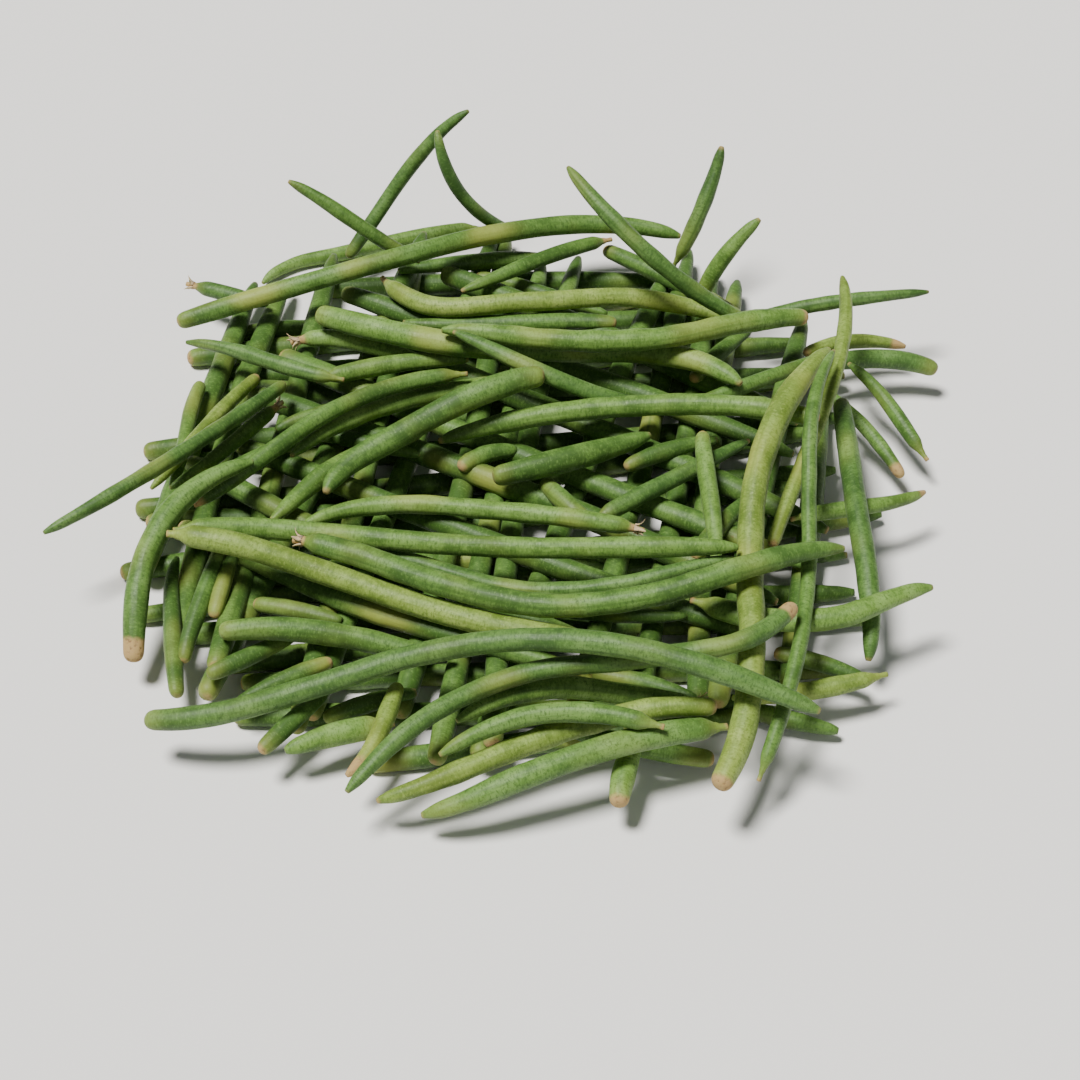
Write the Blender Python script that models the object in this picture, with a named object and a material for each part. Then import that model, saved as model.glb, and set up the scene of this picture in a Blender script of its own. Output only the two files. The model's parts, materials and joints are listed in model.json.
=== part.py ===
"""A loose heap of whole green beans, criss-crossed over one another and resting on a flat surface.

Metres, +Z up, +X to the viewer's right and +Y away from the viewer. The origin is on the surface,
under the middle of the heap. The tables give each bean as an eye in front of the heap sees it, and
the laying rule lowers the beans one after another until each rests on what already lies there.
"""
import math

import bmesh
import bpy
import numpy as np

MM = 0.001

# Cross-sections: a POLY curve's bevel has 4 + 2 * resolution sides
BEAN_BEVEL_RESOLUTION = 2
BED_BEVEL_RESOLUTION = 1

# How a bean's thickness runs in from each end: distance from that end in mm, share of full radius
STEM_END = [(0, 0.36), (3, 0.42), (5, 0.78), (16, 1.0)]
TAIL_END = [(0, 0.22), (4, 0.58), (12, 0.82), (28, 1.0)]
BED_END = [(0, 0.45), (6, 1.0)]
SHORTEST_MIDDLE = 5.0
BODY_RING_SPACING = 28.0
BED_RING_SPACING = 50.0
PATH_DEGREE = 4

# Laying: clearance between beans, how deep fused beans sink in, the tightest that a bean bends
CLEARANCE = 0.45
SINK = 2.5
SAMPLE_SPACING = 2.5
BEND_RADIUS = 130.0

# The eye that the tables are drawn for looks down at a point over the middle of the heap, in mm.
# Picture points run right and down; the eye is a whole FOCAL of them away from the picture.
EYE_ELEVATION = math.radians(46.0)
EYE_DISTANCE = 750.0
LOOKED_AT_HEIGHT = 20.0
PICTURE_MIDDLE = (490.0, 480.0)
FOCAL = 2700.0
SETTLING_ROUNDS = 14
SETTLING_SHARE = 0.3

# The buried bed: crossed layers of beans side by side over a round patch, each layer a count, the
# distance from bean to bean, the patch's radius, the way the beans point in degrees and its middle
BED_LAYERS = [
    (17, 11.2, 106.0, 6.0, (2, 10)),
    (15, 12.6, 108.0, 78.0, (2, 14)),
    (8, 17.0, 86.0, -28.0, (4, 10)),
]
BED_LONGEST = 200.0
BED_GIRTHS = (6.4, 7.2)
BED_SHIFT = 10.0
BED_TURN = 5.0
BED_BOW = 6.0
BED_SEED = 5

# How far tails stand up over the back of the heap, in mm, by the number of the bean
RAISED_TAILS = {2: 46.0, 3: 32.0, 4: 44.0, 5: 40.0, 6: 26.0, 7: 12.0, 39: 32.0, 43: 16.0, 49: 8.0}

# Linear colour and roughness of each shade of pod
SHADES = {
    "dark": ((0.050, 0.120, 0.022), 0.42),
    "green": ((0.105, 0.215, 0.040), 0.44),
    "light": ((0.190, 0.330, 0.080), 0.46),
    "yellow": ((0.280, 0.360, 0.090), 0.48),
}

# Beans of the bed that show in the gaps: girth in mm, picture points from stem to tail
LOW_BEANS = [
    (5.4, [(178, 702), (168, 650), (163, 605), (178, 556)]),
    (5.2, [(183, 668), (187, 625), (205, 572), (235, 520)]),
    (5.0, [(212, 622), (220, 592), (236, 545)]),
    (5.2, [(248, 603), (290, 608), (345, 622)]),
    (5.2, [(203, 688), (240, 672), (300, 645)]),
    (5.4, [(318, 722), (350, 707), (420, 692)]),
    (5.2, [(256, 756), (290, 722), (330, 690)]),
    (5.6, [(456, 472), (470, 457), (520, 450)]),
    (5.4, [(470, 277), (510, 280), (560, 297), (610, 315)]),
    (5.4, [(622, 324), (560, 320), (480, 326), (400, 322)]),
    (5.2, [(400, 398), (350, 404), (310, 413), (273, 431)]),
    (5.6, [(540, 478), (560, 500), (600, 530)]),
    (5.4, [(690, 562), (720, 525), (748, 498)]),
    (5.4, [(585, 672), (640, 680), (700, 700)]),
    (5.6, [(735, 706), (790, 720), (842, 732)]),
    (5.2, [(768, 652), (815, 660), (868, 680)]),
    (5.4, [(620, 470), (660, 450), (720, 440)]),
    (5.6, [(600, 248), (650, 268), (700, 292), (745, 318)]),
    (5.4, [(520, 600), (600, 622), (690, 622)]),
    (5.2, [(690, 385), (720, 350), (752, 330)]),
    (5.6, [(552, 262), (510, 256), (450, 262), (395, 274)]),
    (5.2, [(306, 434), (340, 434), (380, 445), (425, 455)]),
    (5.2, [(338, 660), (285, 678), (232, 706)]),
    (5.8, [(720, 760), (665, 756), (600, 745), (550, 718)]),
]

# Beans from the lowest to the topmost: girth in mm, shade, picture points from stem to tail
BEANS = [
    # Low round the edge of the heap
    (4.9, "light", [(485, 229), (420, 237), (350, 252), (300, 262), (262, 284)]),
    (4.6, "dark", [(345, 262), (368, 228), (400, 182), (435, 138), (470, 111)]),
    (4.6, "green", [(420, 262), (375, 236), (330, 206), (287, 181)]),
    (4.2, "dark", [(515, 232), (480, 212), (452, 178), (437, 126)]),
    (5.2, "dark", [(672, 272), (690, 238), (708, 195), (722, 148)]),
    (5.2, "light", [(698, 305), (712, 275), (735, 244), (761, 219)]),
    (4.6, "dark", [(735, 325), (800, 308), (860, 299), (930, 292)]),
    (5.0, "yellow", [(800, 356), (860, 341), (907, 347)]),
    (6.0, "dark", [(942, 373), (905, 361), (850, 360), (790, 368)]),
    (4.6, "green", [(926, 473), (902, 442), (878, 410), (845, 380)]),
    (4.6, "green", [(905, 482), (885, 452), (858, 420), (825, 390)]),
    (4.8, "light", [(790, 520), (850, 509), (900, 501), (926, 492)]),
    (6.2, "dark", [(840, 400), (848, 450), (860, 530), (870, 600), (868, 662)]),
    (6.4, "light", [(690, 600), (750, 617), (810, 622), (870, 607), (934, 587)]),
    (5.6, "yellow", [(888, 674), (845, 684), (790, 694), (730, 698)]),
    (6.8, "light", [(618, 812), (623, 778), (640, 730)]),
    (5.0, "dark", [(186, 284), (215, 291), (270, 305)]),
    (4.6, "light", [(203, 381), (192, 408), (185, 440), (170, 490)]),
    (4.6, "yellow", [(262, 374), (230, 402), (198, 436), (150, 490)]),
    (6.6, "light", [(395, 722), (330, 738), (284, 757)]),
    (5.2, "yellow", [(400, 680), (385, 720), (370, 750), (345, 777)]),
    (6.8, "green", [(728, 727), (660, 735), (590, 752), (500, 787), (420, 816)]),
    (6.8, "yellow", [(722, 718), (650, 716), (590, 724), (500, 755), (440, 778), (375, 801)]),
    (5.8, "green", [(665, 728), (590, 713), (530, 716), (480, 733), (438, 757)]),
    (6.4, "light", [(706, 702), (650, 698), (590, 690), (540, 688), (500, 701), (455, 722)]),
    (7.0, "green", [(213, 633), (270, 629), (330, 634), (390, 646), (455, 657)]),
    # Middle depths, seen in part
    (4.8, "green", [(612, 240), (560, 253), (510, 272), (460, 292)]),
    (5.6, "light", [(290, 343), (330, 338), (380, 348), (430, 362)]),
    (5.6, "light", [(315, 381), (355, 371), (410, 362), (470, 360)]),
    (5.0, "green", [(204, 481), (240, 466), (285, 445), (330, 425)]),
    (4.8, "light", [(283, 402), (255, 425), (215, 456), (168, 486)]),
    (6.4, "light", [(425, 425), (380, 447), (340, 465), (305, 490), (270, 522)]),
    (6.2, "light", [(500, 381), (440, 393), (380, 408), (325, 432), (290, 457)]),
    (5.2, "dark", [(590, 522), (640, 496), (695, 468), (750, 440)]),
    (5.4, "light", [(702, 430), (706, 470), (712, 510), (716, 570)]),
    (4.6, "green", [(690, 407), (740, 388), (800, 366), (835, 352)]),
    # On top, seen nearly from end to end
    (6.0, "yellow", [(382, 277), (440, 305), (490, 310), (560, 297), (640, 299), (735, 320)]),
    (6.2, "green", [(172, 324), (300, 285), (450, 244), (600, 223), (682, 236)]),
    (5.4, "dark", [(748, 322), (690, 287), (640, 247), (600, 208), (567, 169)]),
    (5.4, "dark", [(345, 380), (290, 368), (240, 353), (185, 344)]),
    (7.4, "light", [(312, 314), (360, 325), (420, 343), (500, 349), (590, 351), (742, 386)]),
    (6.8, "light", [(812, 319), (720, 328), (620, 342), (520, 337), (440, 331)]),
    (4.6, "yellow", [(770, 552), (790, 500), (808, 445), (832, 390), (845, 320), (843, 268)]),
    (5.0, "dark", [(670, 408), (600, 394), (520, 362), (452, 331)]),
    (6.6, "light", [(825, 421), (770, 410), (690, 404), (600, 409), (520, 419), (437, 441)]),
    (5.0, "green", [(468, 366), (400, 379), (340, 402), (290, 440), (240, 474), (193, 507)]),
    (7.4, "green", [(550, 386), (480, 403), (415, 432), (360, 458), (325, 494)]),
    (7.4, "green", [(487, 479), (550, 461), (605, 443), (652, 426)]),
    (4.8, "dark", [(288, 382), (240, 415), (190, 447), (120, 490), (42, 534)]),
    (6.8, "green", [(133, 668), (134, 620), (143, 570), (160, 525), (195, 490), (255, 462)]),
    (7.6, "yellow", [(715, 793), (745, 715), (753, 640), (750, 560), (755, 480), (785, 405), (829, 350)]),
    (4.4, "green", [(760, 782), (772, 730), (800, 655), (811, 600), (803, 530), (812, 455), (834, 350)]),
    (5.8, "light", [(645, 531), (560, 517), (470, 507), (390, 501), (300, 522)]),
    (4.8, "dark", [(355, 550), (430, 567), (500, 586), (570, 591), (640, 580), (735, 558)]),
    (6.0, "light", [(172, 532), (230, 524), (300, 533), (400, 545), (520, 546), (640, 552), (740, 548)]),
    (6.8, "yellow", [(168, 546), (230, 556), (310, 571), (400, 600), (480, 624), (560, 637), (640, 648)]),
    (5.6, "dark", [(797, 604), (740, 634), (680, 661), (600, 667), (520, 666), (430, 720), (345, 793)]),
    (6.8, "green", [(292, 541), (380, 562), (470, 594), (560, 610), (660, 588), (760, 566), (846, 548)]),
    (6.4, "dark", [(140, 720), (250, 706), (350, 676), (450, 650), (550, 638), (660, 655), (822, 712)]),
]


def clear_scene():
    """Removes every object that the file starts with."""
    for existing in list(bpy.data.objects):
        bpy.data.objects.remove(existing, do_unlink=True)


def new_collection(name):
    """A collection linked to the scene."""
    collection = bpy.data.collections.new(name)
    bpy.context.scene.collection.children.link(collection)
    return collection


def pod_material(shade):
    """The skin of a pod in one of the shades."""
    colour, roughness = SHADES[shade]
    material = bpy.data.materials.new("pod_" + shade)
    material.use_nodes = True
    shader = material.node_tree.nodes["Principled BSDF"]
    shader.inputs["Base Color"].default_value = (*colour, 1.0)
    shader.inputs["Roughness"].default_value = roughness
    shader.inputs["Metallic"].default_value = 0.0
    return material


def smooth_path(points):
    """A finely stepped curve through the plan points, with the distance run at each step."""
    points = np.array(points, dtype=float)
    runs = np.concatenate([[0.0], np.cumsum(np.hypot(*np.diff(points, axis=0).T))])
    share = runs / runs[-1]
    fine = np.linspace(0.0, 1.0, 201)
    degree = min(PATH_DEGREE, len(points) - 1)
    path = np.stack([np.polyval(np.polyfit(share, column, degree), fine) for column in points.T], axis=1)
    distance = np.concatenate([[0.0], np.cumsum(np.hypot(*np.diff(path, axis=0).T))])
    return path, distance


class Bean:
    """One bean: rings along its plan path, which the laying rule gives their heights."""

    def __init__(self, girth, points, spacing, stem_end=STEM_END, tail_end=TAIL_END):
        path, run = smooth_path(points)
        self.girth = girth
        self.length = run[-1]
        squeeze = min(1.0, self.length / (stem_end[-1][0] + tail_end[-1][0] + SHORTEST_MIDDLE))
        stem_end = [(distance * squeeze, share) for distance, share in stem_end]
        tail_end = [(distance * squeeze, share) for distance, share in tail_end]
        self.rings = self.ring_distances(spacing, stem_end, tail_end)
        self.drawn = np.stack([np.interp(self.rings, run, path[:, k]) for k in (0, 1)], axis=1)
        self.plan = self.drawn
        from_stem = np.interp(self.rings, *zip(*stem_end))
        from_tail = np.interp(self.length - self.rings, *zip(*tail_end))
        self.radii = girth / 2 * np.minimum(from_stem, from_tail)
        self.heights = np.zeros(len(self.rings))

    def ring_distances(self, spacing, stem_end, tail_end):
        """Where the rings go along the bean: close together at its ends, evenly spaced between."""
        first = stem_end[-1][0]
        last = self.length - tail_end[-1][0]
        body = np.linspace(first, last, max(2, round((last - first) / spacing) + 1))
        stem = [distance for distance, _ in stem_end[:-1]]
        tail = [self.length - distance for distance, _ in reversed(tail_end[:-1])]
        return np.concatenate([stem, body, tail])

    def samples(self):
        """Closely spaced points along the straight runs between rings: distance, x, y, z, radius."""
        distance = np.linspace(0.0, self.length, round(self.length / SAMPLE_SPACING) + 1)
        columns = [self.plan[:, 0], self.plan[:, 1], self.heights, self.radii]
        return distance, *(np.interp(distance, self.rings, column) for column in columns)


def least_heights(bean, laid, clearance):
    """The lowest that each sample of a bean may be, over the surface and the beans laid so far."""
    distance, x, y, _, radius = bean.samples()
    lowest = radius.copy()
    if len(laid):
        apart = np.hypot(x[:, None] - laid[None, :, 0], y[:, None] - laid[None, :, 1])
        reach = radius[:, None] + laid[None, :, 3] + clearance
        above = laid[None, :, 2] + np.sqrt(np.maximum(reach ** 2 - apart ** 2, 0.0))
        lowest = np.maximum(lowest, np.where(apart < reach, above, 0.0).max(axis=1))
    return distance, radius, lowest


def falls(places, supports):
    """How far a bean that bends as tightly as it can drops from each support to each place."""
    return (places[:, None] - supports[None, :]) ** 2 / (2 * BEND_RADIUS)


def drape(distance, lowest):
    """The lowest line over these heights that nowhere bends tighter, up or down, than a bean."""
    length = distance[-1]
    beyond_ends = np.linspace(-length, 2 * length, 3 * len(distance) - 2)
    over = (lowest[None, :] - falls(distance, distance)).max(axis=1)
    bridged = (over[None, :] - falls(beyond_ends, distance)).max(axis=1)
    return (bridged[None, :] + falls(distance, beyond_ends)).min(axis=1)


def lay(bean, laid, clearance, sides):
    """Lowers a bean until it rests, bending softly, on the surface and the beans laid so far."""
    distance, radius, lowest = least_heights(bean, laid, clearance)
    if np.all(lowest == radius):
        bean.heights[:] = bean.girth / 2 * math.cos(math.pi / sides)
        return
    bean.heights = np.interp(bean.rings, distance, drape(distance, lowest))
    sunk = lowest - bean.samples()[3]
    bean.heights += max(0.0, sunk.max())


def eye_place():
    """Where the eye is, in millimetres."""
    away = EYE_DISTANCE * math.cos(EYE_ELEVATION)
    return np.array([0.0, -away, LOOKED_AT_HEIGHT + EYE_DISTANCE * math.sin(EYE_ELEVATION)])


def on_picture(picture_points):
    """Where the sight lines of picture points cross the height that the eye looks at, in plan."""
    right, down = ((np.array(picture_points) - PICTURE_MIDDLE) / FOCAL).T
    forward = math.cos(EYE_ELEVATION) - down * math.sin(EYE_ELEVATION)
    fall = math.sin(EYE_ELEVATION) + down * math.cos(EYE_ELEVATION)
    eye = eye_place()
    run = (eye[2] - LOOKED_AT_HEIGHT) / fall
    return np.stack([eye[0] + right * run, eye[1] + forward * run], axis=1)


def in_sight(bean, heights):
    """Where a bean of the tables lies in plan when it is at these heights."""
    eye = eye_place()
    rise = (heights - LOOKED_AT_HEIGHT) / (eye[2] - LOOKED_AT_HEIGHT)
    return bean.drawn + (eye[:2] - bean.drawn) * rise[:, None]


def raise_tail(bean, height):
    """Tilts a bean up towards its tail."""
    bean.heights += height * bean.rings / bean.length


def settle(bean, laid, clearance, sides, raised=0.0):
    """Lays a bean of the tables, moving it along its lines of sight from the surface upwards."""
    bean.plan = in_sight(bean, bean.radii)
    for _ in range(SETTLING_ROUNDS):
        lay(bean, laid, clearance, sides)
        raise_tail(bean, raised)
        bean.plan = bean.plan + SETTLING_SHARE * (in_sight(bean, bean.heights) - bean.plan)
    lay(bean, laid, clearance, sides)
    raise_tail(bean, raised)


def bean_sides(resolution):
    """How many sides a round bevel of this resolution has."""
    return 4 + 2 * resolution


def with_samples(laid, bean):
    """The laid samples with those of one more bean."""
    return np.concatenate([laid, np.stack(bean.samples()[1:], axis=1)])


def buried_beans():
    """The buried beans of each layer, side by side with small differences in place and turn."""
    draw = np.random.default_rng(BED_SEED)
    beans = []
    for count, spacing, reach, heading, centre in BED_LAYERS:
        for number in range(count):
            aside = (number - (count - 1) / 2) * spacing
            turn = math.radians(heading + draw.uniform(-BED_TURN, BED_TURN))
            along = np.array([math.cos(turn), math.sin(turn)])
            across = np.array([-math.sin(turn), math.cos(turn)])
            middle = centre + across * aside + along * draw.uniform(-BED_SHIFT, BED_SHIFT)
            half = along * min(BED_LONGEST / 2, math.sqrt(reach ** 2 - aside ** 2))
            points = [middle - half, middle + across * draw.uniform(-BED_BOW, BED_BOW), middle + half]
            beans.append(Bean(draw.uniform(*BED_GIRTHS), points, BED_RING_SPACING, BED_END, BED_END))
    return beans


def bean_curve(name, bean, resolution):
    """A bean as a tapering tube with closed ends, one flat side facing down."""
    curve = bpy.data.curves.new(name, "CURVE")
    curve.dimensions = "3D"
    curve.twist_mode = "Z_UP"
    curve.bevel_depth = bean.girth / 2 * MM
    curve.bevel_resolution = resolution
    curve.use_fill_caps = True
    spline = curve.splines.new("POLY")
    spline.points.add(len(bean.rings) - 1)
    sides = bean_sides(resolution)
    flat_side_down = math.pi / sides if sides % 4 == 0 else 0.0
    for point, (x, y), z, radius in zip(spline.points, bean.plan, bean.heights, bean.radii):
        point.co = (x * MM, y * MM, z * MM, 1.0)
        point.radius = radius / (bean.girth / 2)
        point.tilt = flat_side_down
    spline.use_smooth = True
    return bpy.data.objects.new(name, curve)


def as_mesh(curve_object, collection):
    """A curve object made into a mesh object with its end caps welded on."""
    evaluated = curve_object.evaluated_get(bpy.context.evaluated_depsgraph_get())
    mesh = bpy.data.meshes.new_from_object(evaluated)
    form = bmesh.new()
    form.from_mesh(mesh)
    bmesh.ops.remove_doubles(form, verts=form.verts, dist=0.00001)
    form.to_mesh(mesh)
    form.free()
    solid = bpy.data.objects.new(curve_object.name, mesh)
    solid.matrix_world = curve_object.matrix_world
    collection.objects.link(solid)
    bpy.data.objects.remove(curve_object, do_unlink=True)
    return solid


def shells(form):
    """The separate shells of a mesh, each a list of faces."""
    left = set(form.faces)
    while left:
        shell = [left.pop()]
        for face in shell:
            beside = {other for edge in face.edges for other in edge.link_faces} & left
            left -= beside
            shell.extend(beside)
        yield shell


def fill_pockets(mesh):
    """Makes the pockets that are sealed between fused beans solid, by removing what lines them."""
    form = bmesh.new()
    form.from_mesh(mesh)
    for shell in list(shells(form)):
        volume = sum(face.calc_center_median().dot(face.normal) * face.calc_area() for face in shell)
        if volume < 0:
            bmesh.ops.delete(form, geom=shell, context="FACES")
    form.to_mesh(mesh)
    form.free()


def fused(name, beans, collection, helpers):
    """The buried beans joined into one solid where they sink into one another."""
    solids = []
    for number, bean in enumerate(beans):
        curve_object = bean_curve(f"{name}_{number}", bean, BED_BEVEL_RESOLUTION)
        collection.objects.link(curve_object)
        bpy.context.view_layer.update()
        solids.append(as_mesh(curve_object, helpers))
    body = solids.pop(0)
    helpers.objects.unlink(body)
    collection.objects.link(body)
    body.name = name
    join = body.modifiers.new("join", "BOOLEAN")
    join.operation = "UNION"
    join.operand_type = "COLLECTION"
    join.collection = helpers
    bpy.context.view_layer.update()
    evaluated = body.evaluated_get(bpy.context.evaluated_depsgraph_get())
    mesh = bpy.data.meshes.new_from_object(evaluated)
    fill_pockets(mesh)
    body.modifiers.clear()
    body.data = mesh
    for solid in solids:
        bpy.data.objects.remove(solid, do_unlink=True)
    return body


def middle_from_above(objects):
    """The middle of the box round all the objects, seen from above."""
    bpy.context.view_layer.update()
    graph = bpy.context.evaluated_depsgraph_get()
    points = []
    for item in objects:
        evaluated = item.evaluated_get(graph)
        points.extend(vertex.co[:2] for vertex in evaluated.to_mesh().vertices)
        evaluated.to_mesh_clear()
    return (np.max(points, axis=0) + np.min(points, axis=0)) / 2


def lay_bed():
    """The beans that are fused into the bed, each lowered into the ones before, and their samples."""
    laid = np.empty((0, 4))
    sides = bean_sides(BED_BEVEL_RESOLUTION)
    bed = buried_beans()
    for bean in bed:
        lay(bean, laid, -SINK, sides)
        laid = with_samples(laid, bean)
    for girth, picture_points in LOW_BEANS:
        bean = Bean(girth, on_picture(picture_points), BED_RING_SPACING, BED_END, BED_END)
        settle(bean, laid, -SINK, sides)
        laid = with_samples(laid, bean)
        bed.append(bean)
    return bed, laid


def build_heap():
    """Lays the bed, then the other beans over it, and centres the heap on the origin."""
    clear_scene()
    collection = new_collection("green_bean_bundle")
    helpers = new_collection("bed_parts")
    materials = {shade: pod_material(shade) for shade in SHADES}
    bed, laid = lay_bed()
    objects = [fused("bed_beans", bed, collection, helpers)]
    objects[0].data.materials.append(materials["green"])
    sides = bean_sides(BEAN_BEVEL_RESOLUTION)
    for number, (girth, shade, picture_points) in enumerate(BEANS, start=1):
        bean = Bean(girth, on_picture(picture_points), BODY_RING_SPACING)
        settle(bean, laid, CLEARANCE, sides, RAISED_TAILS.get(number, 0.0))
        laid = with_samples(laid, bean)
        pod = bean_curve(f"bean_{number:02d}", bean, BEAN_BEVEL_RESOLUTION)
        pod.data.materials.append(materials[shade])
        collection.objects.link(pod)
        objects.append(pod)
    bpy.data.collections.remove(helpers)
    heap = bpy.data.objects.new("heap", None)
    collection.objects.link(heap)
    heap.location = (*-middle_from_above(objects), 0.0)
    for item in objects:
        item.parent = heap


build_heap()
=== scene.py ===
import json
import math

import bmesh
import bpy
import numpy as np
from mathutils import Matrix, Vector


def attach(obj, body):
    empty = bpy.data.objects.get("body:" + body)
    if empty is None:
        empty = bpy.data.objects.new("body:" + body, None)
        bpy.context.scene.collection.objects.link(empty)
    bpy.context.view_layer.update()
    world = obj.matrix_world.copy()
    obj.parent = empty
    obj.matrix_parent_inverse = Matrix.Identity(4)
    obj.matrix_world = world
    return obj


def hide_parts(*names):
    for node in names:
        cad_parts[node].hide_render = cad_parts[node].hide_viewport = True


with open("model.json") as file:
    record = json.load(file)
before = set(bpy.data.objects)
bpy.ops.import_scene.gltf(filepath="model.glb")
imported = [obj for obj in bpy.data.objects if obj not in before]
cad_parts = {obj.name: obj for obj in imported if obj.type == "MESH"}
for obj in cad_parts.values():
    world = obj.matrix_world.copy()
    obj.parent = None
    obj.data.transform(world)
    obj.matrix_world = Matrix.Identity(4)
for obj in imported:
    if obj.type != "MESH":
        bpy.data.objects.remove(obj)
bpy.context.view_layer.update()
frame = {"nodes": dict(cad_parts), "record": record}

# Metres, +Z up, +Y away from the viewer. Lengths that end in MM are millimetres.
MM = 0.001

# The eye: its angle, its distance from the point that it looks at and that point's height. Picture
# points run right and down in a picture PICTURE_SIZE wide, with that point at PICTURE_MIDDLE, and the
# eye is FOCAL of them away from the picture.
VIEW_ELEVATION = math.radians(46.0)
VIEW_DISTANCE_MM = 750.0
LOOKED_AT_HEIGHT_MM = 20.0
PICTURE_SIZE = 1080.0
PICTURE_MIDDLE = (490.0, 480.0)
FOCAL = 2700.0
SENSOR_MM = 36.0

# The middle of the heap, from the point that the eye looks at
HEAP_MIDDLE_MM = (6.37, 9.784)
VIEW_TARGET = Vector((-HEAP_MIDDLE_MM[0], -HEAP_MIDDLE_MM[1], LOOKED_AT_HEIGHT_MM)) * MM

# The frame's solids: each visible pod is a tube of rings with this many corners
FRAME_SIDES = 8
WELD = 0.000002
BURIED_NODE = "bed_beans"

# How finely a pod is modelled: its sides, and the steps along its body and along its ends in millimetres
FINE = (28, 1.6, 0.5)
BURIED = (16, 3.2, 1.0)
DOME_STEPS = 9

# Millimetres from a stalk's end to its first ring, from the stem end's last ring to the body's first
# one, and from the tail's last ring to the tail's end, at least
STALK_RING_MM = 0.25
BODY_RING_MM = 0.5
TAIL_RING_MM = 0.1

# A pod's stem end, in millimetres from the end of the frame's solid, and how square its dome is
SNAPPED_START_MM = 1.6
DOME_LENGTH_MM = 3.4
DOME_SQUARENESS = 2.6
STALK_LENGTH_MM = 3.0
SHOULDER_START_MM = 2.6
SHOULDER_END_MM = 7.5
SHOULDER_FULLNESS = 0.7
FILLING_OUT_MM = 16.0
FILLING_OUT_SHARE = 0.36

# Shares of a pod's full radius: its neck, its stalk, and the rim round the stalk's foot
NECK_SHARE = 0.86
STALK_SHARE = 0.30
RIM_SHARE = 0.10
RIM_WIDTH_MM = 0.5

# A pod's tail: its length, the rounding at its end and the point that closes either end
TAIL_LENGTH_MM = 12.0
TAIL_ROUNDING_MM = 0.9
TIP_POINT_MM = 0.12

# Across a pod: how much its flanks are flattened, how much of that a seed fills out again, and how
# much the flanks rise over a seed and sink between two
FLATNESS = (0.05, 0.13)
SEED_FILLING = 0.6
SEED_SWELLING = (0.02, 0.07)

# The two seams: a groove's depth as a share of the radius, its width and reach as angles, how far the
# seams wind round the pod along its length, and how dark they are
SEAM_DEPTH = 0.030
SEAM_WIDTH = 0.17
SEAM_REACH = 0.5
SEAM_WINDING = 0.35
SEAM_WAVE = 3.0
SEAM_DARKNESS = (0.2, 1.0)

# The seeds inside: the length of a pod without any, their spacing, where the first and the last lie in
# millimetres from the ends and as shares of the length, how far they shift, their length and their sizes
SEEDLESS_MM = 30.0
SEED_SPACING_MM = (10.5, 13.0)
FIRST_SEED_MM = 20.0
FIRST_SEED_SHARE = 0.36
LAST_SEED_MM = 22.0
LAST_SEED_SHARE = 0.6
SEED_SHIFT_MM = 1.2
SEED_LENGTH_MM = 3.6
SEED_SIZES = (0.6, 1.0)

# How a pod's thickness wavers along it, round a share that keeps its skin in its solid
UNEVENNESS = 0.03
UNEVEN_STEP_MM = 9.0
INSIDE_SHARE = 0.98

# The dry flower cup: its lobes, how unevenly they stand round the stalk, their lengths, how far they
# curl out, and shares of the pod's full radius
CUP_LOBES = 6
LOBE_SHIFT = 0.35
LOBE_LENGTHS_MM = (1.8, 4.2)
LOBE_CURLS = (0.2, 1.1)
LOBE_RINGS = 5
LOBE_SIDES = 4
LOBE_TAPER = 0.7
LOBE_FOOT_SHARE = 0.36
LOBE_WIDTH_SHARE = 0.30
LOBE_THICKNESS_SHARE = 0.05
LOBE_TIP_MM = 0.08

# What a cup's points carry as their ends: far from the stem and the tail, and papery
CUP_ENDS = (9.0, 99.0, 1.0)

# How the visible pods end, by number: a dry flower cup on the stalk, or a bare stalk. The rest are
# snapped.
CUPPED_STEMS = (17, 25, 28, 30, 31, 53, 58)
STALKED_STEMS = (1, 3, 5, 7, 10, 12, 14, 15, 20, 22, 24, 27, 29, 34, 37, 40, 44, 46, 52, 55, 56)

# How far the dry tan colour runs in from an end, in millimetres, where it is more than a trace
TAN_STEMS_MM = {11: 4.0, 16: 2.0, 17: 4.0, 25: 3.5, 27: 4.0, 28: 5.0, 29: 2.0, 30: 3.0, 31: 5.0, 37: 3.0,
                42: 2.0, 50: 6.0, 51: 2.5, 53: 4.0, 57: 5.0, 58: 3.5}
TAN_TAILS_MM = {8: 5.0, 12: 3.0, 21: 6.0, 46: 3.0}
TRACE_OF_TAN_MM = (-0.3, 1.1)

# Seeds of the random draws, and how far apart the pods' places on the skin's noise are spread
POD_SEED = 1000
BURIED_SEED = 3000
BED_SEED = 5
SKIN_SPREAD_MM = 1000.0

# How a buried pod's tail runs out: distance from its end in millimetres, share of its full thickness
BURIED_TAIL = [(0, 0.22), (4, 0.58), (12, 0.82), (28, 1.0)]

# Laying the buried pods: how deep one sinks into those below, the tightest that a pod bends, and how
# closely it is sampled
SINK_MM = 2.5
BEND_RADIUS_MM = 130.0
LAYING_STEP_MM = 2.5

# A buried pod's solid has straight runs between six-sided rings: their length, the length of the two
# end runs, the end rings' share of the full thickness, and the share at which a side lies flat
RUN_STEP_MM = 50.0
RUN_END_MM = 6.0
RUN_END_SHARE = 0.45
LOWEST_SHARE = math.cos(math.pi / 6)

# The smooth path through a buried pod's points, and the rounds that settle it along its sight lines
PATH_DEGREE = 4
PATH_POINTS = 201
SETTLING_ROUNDS = 14
SETTLING_SHARE = 0.3

# Crossed layers of buried pods side by side over a round patch, each layer a count, the distance from
# pod to pod, the patch's radius, the way the pods point in degrees and the patch's middle
BED_LAYERS = [
    (17, 11.2, 106.0, 6.0, (2, 10)),
    (15, 12.6, 108.0, 78.0, (2, 14)),
    (8, 17.0, 86.0, -28.0, (4, 10)),
]

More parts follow.
